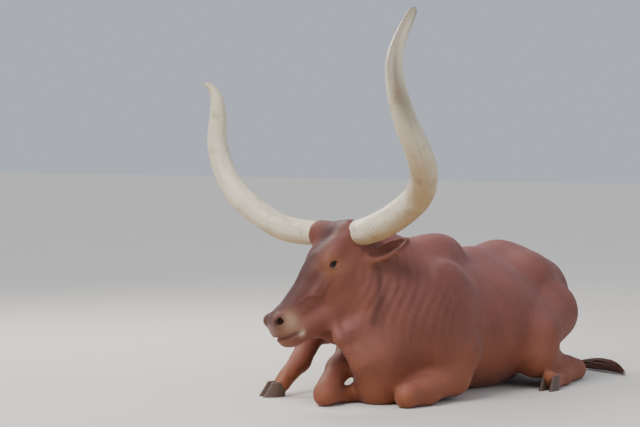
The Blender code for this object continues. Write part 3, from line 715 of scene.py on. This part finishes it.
def noise(tree, place, scale, detail, roughness=0.5):
    """Noise with so many swings to the metre."""
    values = {"Scale": scale, "Detail": detail, "Roughness": roughness}
    return add_node(tree, "ShaderNodeTexNoise", inputs=values, links={"Vector": place}).outputs["Fac"]


def remap(tree, value, low, high, start=0.0, end=1.0):
    """A value taken from start and end to low and high, and held there."""
    values = {"From Min": start, "From Max": end, "To Min": low, "To Max": high}
    return add_node(tree, "ShaderNodeMapRange", inputs=values, links={"Value": value}).outputs[0]


def mix(tree, share, first, second):
    """A first colour, hex or a node's output, mixed with a second one, hex, by a share."""
    values, links = {"B": (*srgb(second), 1.0)}, {"Factor": share}
    if isinstance(first, str):
        values["A"] = (*srgb(first), 1.0)
    else:
        links["A"] = first
    return add_node(tree, "ShaderNodeMix", {"data_type": "RGBA"}, values, links).outputs["Result"]


def relief(tree, height, strength, distance):
    """A normal that stands for fine relief of the given height in metres."""
    values = {"Strength": strength, "Distance": distance}
    return add_node(tree, "ShaderNodeBump", inputs=values, links={"Height": height}).outputs["Normal"]


def new_material(name, nodes, values):
    """A material, made once: nodes builds what its colour and normal are read from, and values
    are the surface's other inputs."""
    material = bpy.data.materials.get(name)
    if material is None:
        material = bpy.data.materials.new(name)
        material.use_nodes = True
        tree = material.node_tree
        shader = tree.nodes["Principled BSDF"]
        for key, output in nodes(tree).items():
            tree.links.new(output, shader.inputs[key])
        for key, value in values.items():
            shader.inputs[key].default_value = value
    return material


def hide_nodes(tree):
    """The painted coat, varied in wide patches and in hairs drawn out along the body."""
    place = object_place(tree)
    lie = add_node(tree, "ShaderNodeMapping", inputs={"Scale": (1.0, 0.30, 0.55)},
                   links={"Vector": place})
    hairs = noise(tree, lie.outputs["Vector"], 420.0, 3.0)
    both = add_node(tree, "ShaderNodeMath", {"operation": "MULTIPLY"},
                    links={0: remap(tree, noise(tree, place, 9.0, 4.0), 0.80, 1.18),
                           1: remap(tree, hairs, 0.86, 1.14)})
    shade = add_node(tree, "ShaderNodeVectorMath", {"operation": "SCALE"},
                     links={0: tone_of(tree), "Scale": both.outputs[0]})
    return {"Base Color": shade.outputs["Vector"], "Normal": relief(tree, hairs, 0.25, 0.001)}


def short_hide():
    """Short cattle coat: satin, faintly cool sheen, hairs drawn 2 mm apart to show."""
    return new_material("Short cattle coat", hide_nodes, {
        "Roughness": 0.62, "Specular IOR Level": 0.35, "Sheen Weight": 0.10,
        "Sheen Roughness": 0.45, "Sheen Tint": (0.72, 0.70, 0.85, 1.0)})


def horn_nodes(tree):
    """Cream with brown streaks drawn out along the horn, and worn brown stains."""
    spot = add_node(tree, "ShaderNodeUVMap", {"uv_map": "Grain"})
    stretch = add_node(tree, "ShaderNodeMapping", inputs={"Scale": (7.0, 26.0, 1.0)},
                       links={"Vector": spot.outputs["UV"]})
    grain = noise(tree, stretch.outputs["Vector"], 1.0, 6.0, 0.65)
    stain = noise(tree, object_place(tree), 11.0, 5.0, 0.6)
    streaked = mix(tree, remap(tree, grain, 0.0, 0.60, 0.50, 0.72), tone_of(tree), "#8A7350")
    worn = mix(tree, remap(tree, stain, 0.0, 0.55, 0.54, 0.75), streaked, "#77573A")
    return {"Base Color": worn, "Normal": relief(tree, grain, 0.35, 0.002)}


def horn_sheath():
    """Keratin sheath, weathered: cream with long brown grain, dull gloss."""
    return new_material("Keratin horn sheath", horn_nodes, {"Roughness": 0.42, "IOR": 1.54})


def hoof_nodes(tree):
    """Dark horn in wavering level bands."""
    rings = add_node(tree, "ShaderNodeTexWave", {"bands_direction": "Z"},
                     {"Scale": 32.0, "Distortion": 3.0, "Detail": 2.0},
                     {"Vector": object_place(tree)}).outputs["Fac"]
    return {"Base Color": mix(tree, rings, "#4A392F", "#5E4A3C"),
            "Normal": relief(tree, rings, 0.12, 0.001)}


def hoof_wall():
    """Hoof horn: dark keratin with growth rings, dry and dull."""
    return new_material("Hoof wall horn", hoof_nodes, {"Roughness": 0.55, "IOR": 1.54})


def wet_eye():
    """Cornea over a dark iris: smooth and wet, with a clear coat."""
    return new_material("Wet cornea", lambda tree: {"Base Color": tone_of(tree)}, {
        "Roughness": 0.08, "IOR": 1.38, "Specular IOR Level": 0.35, "Coat Weight": 0.12})


def hair_nodes(tree):
    """Dark brown strands, some paler."""
    return {"Base Color": mix(tree, noise(tree, object_place(tree), 300.0, 3.0), "#2E1813", "#6A3E2C")}


def tail_hair():
    """Coarse tail hair: dark brown strands, slightly glossy."""
    return new_material("Coarse tail hair", hair_nodes, {"Roughness": 0.5})


def floor_nodes(tree):
    """Pale grey, faintly clouded."""
    return {"Base Color": mix(tree, noise(tree, object_place(tree), 1.5, 3.0), "#CFCBC4", "#D6D2CB")}


FLESH_NODES = ("head", "neck", "torso", "ear_left", "ear_right", "foreleg_left", "foreleg_right",
               "hindleg_left", "hindleg_right", "tail")
# Tufts on the head are this much denser and shorter than on the body, and shorter low on the legs.
HEAD_DENSITY = 2.2
HEAD_LENGTH = 0.55
LOW_LENGTH = 0.7
# Heights below which hair lies toward the hooves, and below which there is none.
LOW_LEG = 0.13
BARE_SOLE = 0.012
# How a tuft strays from its way, and how its size and tone vary; its half width, the height of
# its ridge and the depth of its root, by its length; and how far it keeps above the floor.
STRAY = 0.16
SIZE_RANGE, TONE_RANGE, TIP_RANGE = (0.7, 1.25), (0.82, 1.16), (0.0, 0.06)
HALF_WIDTH, RIDGE_HEIGHT, ROOT_DEPTH = 0.10, 0.045, 0.06
TUFT_GAP = 0.0005
UNWRAP_MARGIN = 0.02
TUFT_PATCH = 0.0015
FIRST_SEED = 40


def box_unwrap(points, normals):
    """A place on a six-sided unwrap of the skin: its strongest normal picks a cell of a three by
    two sheet, and its other two coordinates place it there."""
    axis = np.abs(normals).argmax(axis=1)
    every = np.arange(len(axis))
    sign = (normals[every, axis] > 0).astype(float)
    low = points.min(axis=0)
    unit = (points - low) / (points.max(axis=0) - low).max()
    inner = 1.0 - 2.0 * UNWRAP_MARGIN
    first = axis + UNWRAP_MARGIN + inner * unit[every, (axis + 1) % 3]
    second = sign + UNWRAP_MARGIN + inner * unit[every, (axis + 2) % 3]
    return np.stack([first / 3.0, second / 2.0], axis=1)


def lie_of_coat(points):
    """Which way hair lies: down the face on the head, and back and down on the body and legs;
    and which places are on the head."""
    along, side_of, out = ((points - np.array(POLL)) @ HEAD_ROWS.T).T
    head = (along > 0.02) & (np.abs(side_of) < 0.16) & (out > -0.26) & (points[:, 1] < 0.16)
    way = np.tile(np.array((0.0, 0.75, -0.55)), (len(points), 1))
    way[points[:, 2] < LOW_LEG] = (0.0, -0.3, -0.8)
    way[head] = np.array(FACE)
    return way, head


def coat_ground(skin):
    """What tufts stand on: the skin's triangles, places and normals, which way hair lies on each
    triangle, which are on the head, and each one's share of the tufts, by its area."""
    mesh = skin.data
    mesh.calc_loop_triangles()
    corners = np.empty(len(mesh.loop_triangles) * 3, dtype=np.int32)
    mesh.loop_triangles.foreach_get("vertices", corners)
    corners = corners.reshape(-1, 3)
    points, normals = read_points(mesh)
    a, b, c = (points[corners[:, k]] for k in range(3))
    centre = (a + b + c) / 3
    way, head = lie_of_coat(centre)
    share = np.linalg.norm(np.cross(b - a, c - a), axis=1)
    share = share * np.where(head, HEAD_DENSITY, 1.0) * (centre[:, 2] > BARE_SOLE)
    for side in (-1, 1):
        eye = on_head(EYE_PLACE[0], (EYE_PLACE[1] + 0.012) * side, EYE_PLACE[2])
        for bare in (eye, on_head(*on_side(NOSTRIL, side))):
            share = share * (halo(centre, bare, 0.022) < 0.4)
    share = share * (halo(centre, on_head(*NOSE_TIP), 0.042) < 0.5)
    return corners, points, normals, way, head, share / share.sum()


def tuft_mesh(ground, name, seed, settings):
    """Thin four-sided tufts set on the skin at seeded places, by area, and lying along the coat."""
    corners, points, normals, way, head, share = ground
    rng = np.random.default_rng(seed)
    count = settings.tufts
    pick = rng.choice(len(share), size=count, p=share)
    u, v = rng.random(count), rng.random(count)
    flip = u + v > 1
    u[flip], v[flip] = 1 - u[flip], 1 - v[flip]
    weights = np.stack([1 - u - v, u, v], axis=1)[..., None]
    root = (points[corners[pick]] * weights).sum(axis=1)
    up = (normals[corners[pick]] * weights).sum(axis=1)
    up /= np.linalg.norm(up, axis=1)[:, None] + 1e-9
    flow = way[pick] + rng.normal(0.0, STRAY, (count, 3))
    flow -= up * (flow * up).sum(axis=1)[:, None]
    flow /= np.linalg.norm(flow, axis=1)[:, None] + 1e-9
    across = np.cross(up, flow)
    size = settings.hair_length * rng.uniform(*SIZE_RANGE, count)
    size = size * np.where(head[pick], HEAD_LENGTH, 1.0)
    size = (size * np.where(root[:, 2] < LOW_LEG, LOW_LENGTH, 1.0))[:, None]
    width = size * HALF_WIDTH
    sunk = up * (size * ROOT_DEPTH)
    left = root - across * width - sunk
    right = root + across * width - sunk
    ridge = root + flow * (size * 0.40) + up * (size * RIDGE_HEIGHT)
    tip = root + flow * size + up * (size * rng.uniform(*TIP_RANGE, (count, 1)))
    verts = np.stack([left, right, ridge, tip], axis=1).reshape(-1, 3)
    verts[:, 2] = np.maximum(verts[:, 2], TUFT_GAP)
    shape = np.array([[0, 2, 1], [1, 2, 3], [3, 2, 0], [0, 1, 3]])
    faces = (np.arange(count)[:, None, None] * 4 + shape[None]).reshape(-1, 3).tolist()
    tone = coat_colour(root, up, settings.hide) * rng.uniform(*TONE_RANGE, count)[:, None]
    obj = new_piece(name, verts, faces, short_hide(), (), np.repeat(tone, 4, axis=0))
    obj.data.normals_split_custom_set_from_vertices(np.repeat(up, 4, axis=0).tolist())
    patch = np.array([[-1.0, -1.0], [1.0, -1.0], [0.0, 0.2], [0.0, 1.0]]) * TUFT_PATCH
    write_uv(obj.data, "OFBake", (box_unwrap(root, up)[:, None] + patch[None]).reshape(-1, 2))


class OX_OT_skin(bpy.types.Operator):
    """One skin over head, ears, neck, torso, legs and tail, with folds, lids, lips and nostrils"""

    bl_idname = "ox.skin"
    bl_label = "Skin"

    def execute(self, context):
        settings = context.scene.ox
        head, head_faces = read_surface(*HEAD_CORNERS, settings.head_step, settings.coat_depth, "head")
        body, body_faces = read_surface(*BODY_CORNERS, settings.body_step, settings.coat_depth, "body")
        skin = new_piece("skin", body, body_faces, short_hide(), FLESH_NODES)
        face = new_piece("face", head, head_faces, short_hide(), ())
        for piece in (skin, face):
            even = piece.modifiers.new("Even", "SMOOTH")
            even.factor = 0.5
            even.iterations = 2
        union = skin.modifiers.new("Join", "BOOLEAN")
        union.operation = "UNION"
        union.solver = "MANIFOLD"
        union.object = face
        graph = context.evaluated_depsgraph_get()
        mesh = bpy.data.meshes.new_from_object(skin.evaluated_get(graph))
        skin.modifiers.clear()
        skin.data = mesh
        bpy.data.objects.remove(face)
        mesh.shade_smooth()
        paint(mesh, coat_colour(*read_points(mesh), settings.hide))
        return {"FINISHED"}


class OX_OT_coat(bpy.types.Operator):
    """Short tufts over the skin, in a few pieces"""

    bl_idname = "ox.coat"
    bl_label = "Coat"

    def execute(self, context):
        settings = context.scene.ox
        ground = coat_ground(bpy.data.objects["skin"])
        for number in range(settings.coat_pieces):
            tuft_mesh(ground, f"coat_{number + 1}", FIRST_SEED + number, settings)
        return {"FINISHED"}


# The horns' growth rings: how far apart and how high they are; the share of the horn's length
# that they end at, and over which they fade; and how strongly they show on the left and right.
RING_GAP, RING_HEIGHT = 0.019, 0.0020
RING_END, RING_FADE = 0.34, 0.22
RING_STRENGTH = {1: 0.8, -1: 0.25}
BLUNT_TIP = 0.012


def make_horn(name, places, side, material):
    """A horn: rings of points along its curve, swollen by growth rings near the root that fade
    out by a third of its length, and closed in a blunt tip."""
    rings, sides = 420, 40
    path = smooth_path(places, rings)
    axes = np.array([LEVEL_LEFT * side, LEVEL_FORWARD, Vector((0, 0, 1))])
    centres = np.array(POLL) + path[:, :3] @ axes
    along = np.concatenate([[0.0], np.cumsum(np.linalg.norm(np.diff(centres, axis=0), axis=1))])
    share = along / along[-1]
    angle = np.arange(sides) * 2 * math.pi / sides
    fade = ramp(share, RING_END, -RING_FADE) ** 1.3 * RING_STRENGTH[side]
    wave = np.sin(along * 2 * math.pi / RING_GAP + 2.4 * np.sin(along * 13.0))
    wave = wave * (0.6 + 0.4 * np.sin(along * 47.0))
    rough = 0.0016 * np.sin(3 * angle[None] + along[:, None] * 9.0)
    rough = rough + 0.0009 * np.sin(7 * angle[None] - along[:, None] * 23.0)
    radius = path[:, 3:4] * 0.985 + RING_HEIGHT * (fade * wave)[:, None]
    radius = radius + rough * (1 - share[:, None] * 0.7)
    tip = np.sqrt(ramp(share, 1.0, -BLUNT_TIP))[:, None]
    radius = radius * np.maximum(tip, 0.05)
    points = tube_grid(centres, radius, sides).reshape(-1, 3)
    under = np.clip(-(points - np.repeat(centres, sides, axis=0))[:, 2] / 0.045 - 0.1, 0, 1)
    reach, turn = np.repeat(share, sides), np.tile(angle, rings)
    colour = np.tile(srgb("#D8CDB2"), (len(points), 1))
    tint = partial(blend, colour)
    # Painted shade: the underside of the horn, below its axis, is tinted darker brown.
    tint(under * 0.80, "#A98350")
    tint(np.repeat(fade * np.clip(-wave, 0, 1), sides) * 0.45, "#7D6A4C")
    if side == 1:
        tint(ramp(reach, 0.30, 0.05) * ramp(reach, 0.58, -0.1) * 0.35, "#9B7B50")
        streak = 0.5 + 0.5 * np.sin(turn * 2 + reach * 7.0)
        tint(ramp(reach, 0.52, 0.16) * streak * 0.9, "#6A5A49")
        tint(ramp(reach, 0.90, 0.1) * 0.7, "#5A4A3C")
    else:
        tint(ramp(reach, 0.93, 0.05) * 0.5, "#9B8460")
    horn = new_piece(name + "_sheath", points, tube_faces(rings, sides), material, (name,), colour)
    uv = np.stack([np.repeat(along, sides), np.abs(turn / math.pi - 1.0)], axis=1)
    write_uv(horn.data, "Grain", uv)


class OX_OT_horns(bpy.types.Operator):
    """Two long horns with ringed roots and weathered grain"""

    bl_idname = "ox.horns"
    bl_label = "Horns"

    def execute(self, context):
        material = horn_sheath()
        make_horn("horn_left", HORN_LEFT, 1, material)
        make_horn("horn_right", HORN_RIGHT, -1, material)
        return {"FINISHED"}


class OX_OT_eyes(bpy.types.Operator):
    """Two dark wet eyes with an iris and a level pupil"""

    bl_idname = "ox.eyes"
    bl_label = "Eyes"

    def execute(self, context):
        rings, sides = 40, 48
        face = np.array(FACE)
        for word, side in (("left", 1), ("right", -1)):
            centre = np.array(on_head(*on_side(EYE_PLACE, side)))
            down = np.linspace(0.0, math.pi, rings)
            radius = np.maximum(np.sin(down) * EYE_RADIUS, 1e-5)[:, None, None]
            out = np.array(LEFT) * side
            path = centre + np.outer(-np.cos(down) * EYE_RADIUS, out)
            angle = np.arange(sides) * 2 * math.pi / sides
            ring = np.outer(np.cos(angle), face) + np.outer(np.sin(angle), np.cross(out, face))
            points = (path[:, None] + ring[None] * radius).reshape(-1, 3)
            local = (points - centre) / EYE_RADIUS
            level, height = local @ face, local @ np.array(BROW)
            front = (local @ out) > 0
            colour = np.tile(srgb("#4C342A"), (len(points), 1))
            iris = front & (level ** 2 + height ** 2 < 0.62 ** 2)
            pupil = front & ((level / 0.40) ** 2 + (height / 0.22) ** 2 < 1.0)
            colour[iris] = srgb("#24130D")
            colour[pupil] = srgb("#060404")
            new_piece(f"eye_{word}_ball", points, tube_faces(rings, sides), wet_eye(),
                      (f"eye_{word}",), colour)
        return {"FINISHED"}


def claw(centre, ahead, across, side):
    """One claw: rings of an egg outline, each smaller and further back than the one below it,
    over a flat sole, with the inner side flattened along the cleft."""
    rings, sides = 16, 28
    rise = np.concatenate([[0.0, 0.0], np.linspace(0.02, 1.0, rings - 3), [1.0]])
    angle = np.arange(sides) * 2 * math.pi / sides
    length = np.cos(angle) * HOOF_LENGTH * 0.46
    width = np.sin(angle) * HOOF_WIDTH * 0.46
    width = np.where(width * side < 0, width * 0.75, width)
    pinch = 1.0 - 0.38 * np.clip(np.cos(angle), 0, 1)
    grow = 1.0 - 0.30 * rise
    grow[0] = 0.02
    grow[-1] = 0.02
    back = -0.030 * rise
    points = (np.array(centre)[None, None]
              + (length[None] * grow[:, None] + back[:, None])[..., None] * np.array(ahead)
              + (width * pinch)[None, :, None] * grow[:, None, None] * np.array(across)
              + (rise * HOOF_HEIGHT)[:, None, None] * np.array((0.0, 0.0, 1.0)))
    return points.reshape(-1, 3), tube_faces(rings, sides)


class OX_OT_hooves(bpy.types.Operator):
    """Four cloven hooves, two claws each"""

    bl_idname = "ox.hooves"
    bl_label = "Hooves"

    def execute(self, context):
        for name, (*_, top, toe) in LEGS.items():
            top, toe = Vector(top), Vector(toe)
            ahead = Vector((toe.x - top.x, toe.y - top.y, 0)).normalized()
            across = Vector((-ahead.y, ahead.x, 0))
            points, faces = [], []
            for side in (-1, 1):
                centre = Vector((top.x, top.y, 0.0)) + ahead * 0.048 + across * (side * HOOF_WIDTH * 0.47)
                found, quads = claw(centre, ahead, across, side)
                shift = sum(len(p) for p in points)
                points.append(found)
                faces += [[i + shift for i in quad] for quad in quads]
            node = name.replace("leg", "hoof")
            hoof = new_piece(node + "_claws", np.concatenate(points), faces, hoof_wall(), (node,))
            shape = bmesh.new()
            shape.from_mesh(hoof.data)
            bmesh.ops.recalc_face_normals(shape, faces=shape.faces[:])
            shape.to_mesh(hoof.data)
            shape.free()
        return {"FINISHED"}


class OX_OT_switch(bpy.types.Operator):
    """The tail's switch of long tapered locks"""

    bl_idname = "ox.switch"
    bl_label = "Tail switch"

    def execute(self, context):
        rng = np.random.default_rng(7)
        rings, sides, locks = 14, 6, 220
        spine = smooth_path(SWITCH_PATH, rings)
        even = np.linspace(0, 1, rings)
        radius = 0.0045 * (1.0 - even ** 2 * 0.9)[:, None] * np.ones((1, sides))
        points, faces = [], []
        for number in range(locks):
            turn = rng.uniform(0, 2 * math.pi)
            out = math.sqrt(rng.random())
            start = rng.uniform(0.0, 0.35)
            share = np.linspace(start, min(1.0, start + rng.uniform(0.5, 0.75)), rings)
            at = np.stack([np.interp(share, even, spine[:, k]) for k in range(4)], axis=1)
            _, side, other = frames_along(at[:, :3])
            turns = (turn + share * rng.uniform(-1.2, 1.2))[:, None]
            path = at[:, :3] + (side * np.cos(turns) + other * np.sin(turns)) * (out * at[:, 3:4])
            path[:, 2] = np.maximum(path[:, 2], 0.006)
            ring = tube_grid(path, radius, sides).reshape(-1, 3)
            ring[:, 2] = np.maximum(ring[:, 2], 0.001)
            faces += tube_faces(rings, sides, number * rings * sides)
            points.append(ring)
        new_piece("switch_locks", np.concatenate(points), faces, tail_hair(), ("tail_switch",))
        return {"FINISHED"}


# The camera, before the datum: its turn, its distance, its shift to the left and its height.
# The focal length and the horizon's height over the middle are in pixels of the photograph.
CAMERA_TURN = math.radians(33.0)
CAMERA_AWAY = 8.8
CAMERA_ASIDE = 0.229
CAMERA_HEIGHT = 1.3
SENSOR_WIDTH = 36.0
FRAME_WIDTH = 640.0
FOCAL_PIXELS = 1920.0
HORIZON_ABOVE = 90.1
FLOOR_REACH = 30.0


def add_light(name, kind, power, tint, aim, place=(0, 0, 0)):
    """A light at a place, shining along aim."""
    light = bpy.data.lights.new(name, kind)
    light.energy = power
    light.color = tint
    lamp = add_object(name, light)
    lamp.location = place
    lamp.rotation_euler = aim.to_track_quat("-Z", "Y").to_euler()
    return light


class OX_OT_stage(bpy.types.Operator):
    """Pale floor, soft studio lights and the camera at the photograph's angle"""

    bl_idname = "ox.stage"
    bl_label = "Stage"

    def execute(self, context):
        scene = context.scene
        right = Vector((math.cos(CAMERA_TURN), math.sin(CAMERA_TURN), 0))
        away = Vector((-math.sin(CAMERA_TURN), math.cos(CAMERA_TURN), 0))
        up = Vector((0, 0, 1.0))
        lens = bpy.data.cameras.new("Camera")
        lens.sensor_width = SENSOR_WIDTH
        lens.lens = FOCAL_PIXELS / FRAME_WIDTH * SENSOR_WIDTH
        camera = add_object("Camera", lens)
        camera.location = right * -CAMERA_ASIDE - away * CAMERA_AWAY + up * CAMERA_HEIGHT + DATUM
        pitch = math.atan(HORIZON_ABOVE / FOCAL_PIXELS)
        look = away * math.cos(pitch) - up * math.sin(pitch)
        camera.rotation_euler = look.to_track_quat("-Z", "Y").to_euler()
        scene.camera = camera
        mesh = bpy.data.meshes.new("studio_floor")
        mesh.from_pydata([(x * FLOOR_REACH, y * FLOOR_REACH, 0)
                          for x, y in ((-1, -1), (1, -1), (1, 1), (-1, 1))], [], [(0, 1, 2, 3)])
        mesh.materials.append(new_material("Matt studio floor", floor_nodes, {"Roughness": 0.9}))
        floor = add_object("studio_floor", mesh)
        sun = add_light("Sky light", "SUN", 1.5, (1.0, 0.98, 0.95), right * 0.45 + away * 0.35 - up)
        sun.angle = math.radians(35.0)
        lights = (("Key", right * -2.6 - away * 2.4, 4.2, 3.0, 160.0, (1.0, 0.97, 0.93)),
                  ("Fill", right * 3.6 - away * 3.2, 2.6, 4.0, 60.0, (0.88, 0.93, 1.0)),
                  ("Rim", right * -2.2 + away * 3.4, 3.6, 2.0, 200.0, (1.0, 0.90, 0.78)))
        for name, place, height, size, power, tint in lights:
            place = place + up * height + DATUM
            aim = Vector((0.0, 0.5, 0.5)) + DATUM - place
            add_light(name, "AREA", power, tint, aim, place).size = size
        world = bpy.data.worlds.new("Studio sky")
        scene.world = world
        world.use_nodes = True
        sky = world.node_tree.nodes["Background"]
        sky.inputs["Color"].default_value = (0.80, 0.87, 1.0, 1.0)
        sky.inputs["Strength"].default_value = 0.62
        return {"FINISHED"}


class OX_PT_panel(bpy.types.Panel):
    """Lists the ox's pieces in the sidebar"""

    bl_label = "Lying ox"
    bl_idname = "OX_PT_panel"
    bl_space_type = "VIEW_3D"
    bl_region_type = "UI"
    bl_category = "Ox"

    def draw(self, context):
        settings = context.scene.ox
        for name in ("body_step", "head_step", "coat_depth", "hair_length", "tufts", "coat_pieces", "hide"):
            self.layout.prop(settings, name)
        for operator in OPERATORS:
            self.layout.operator(operator.bl_idname)


OPERATORS = (OX_OT_stage, OX_OT_skin, OX_OT_coat, OX_OT_horns, OX_OT_eyes, OX_OT_hooves, OX_OT_switch)
CLASSES = (OxSettings, OX_PT_panel) + OPERATORS


def register():
    for item in CLASSES:
        bpy.utils.register_class(item)
    bpy.types.Scene.ox = bpy.props.PointerProperty(type=OxSettings)


def unregister():
    del bpy.types.Scene.ox
    for item in reversed(CLASSES):
        bpy.utils.unregister_class(item)


def main():
    register()
    bpy.ops.ox.stage()
    bpy.ops.ox.skin()
    bpy.ops.ox.coat()
    bpy.ops.ox.horns()
    bpy.ops.ox.eyes()
    bpy.ops.ox.hooves()
    bpy.ops.ox.switch()


if __name__ == "__main__":
    main()
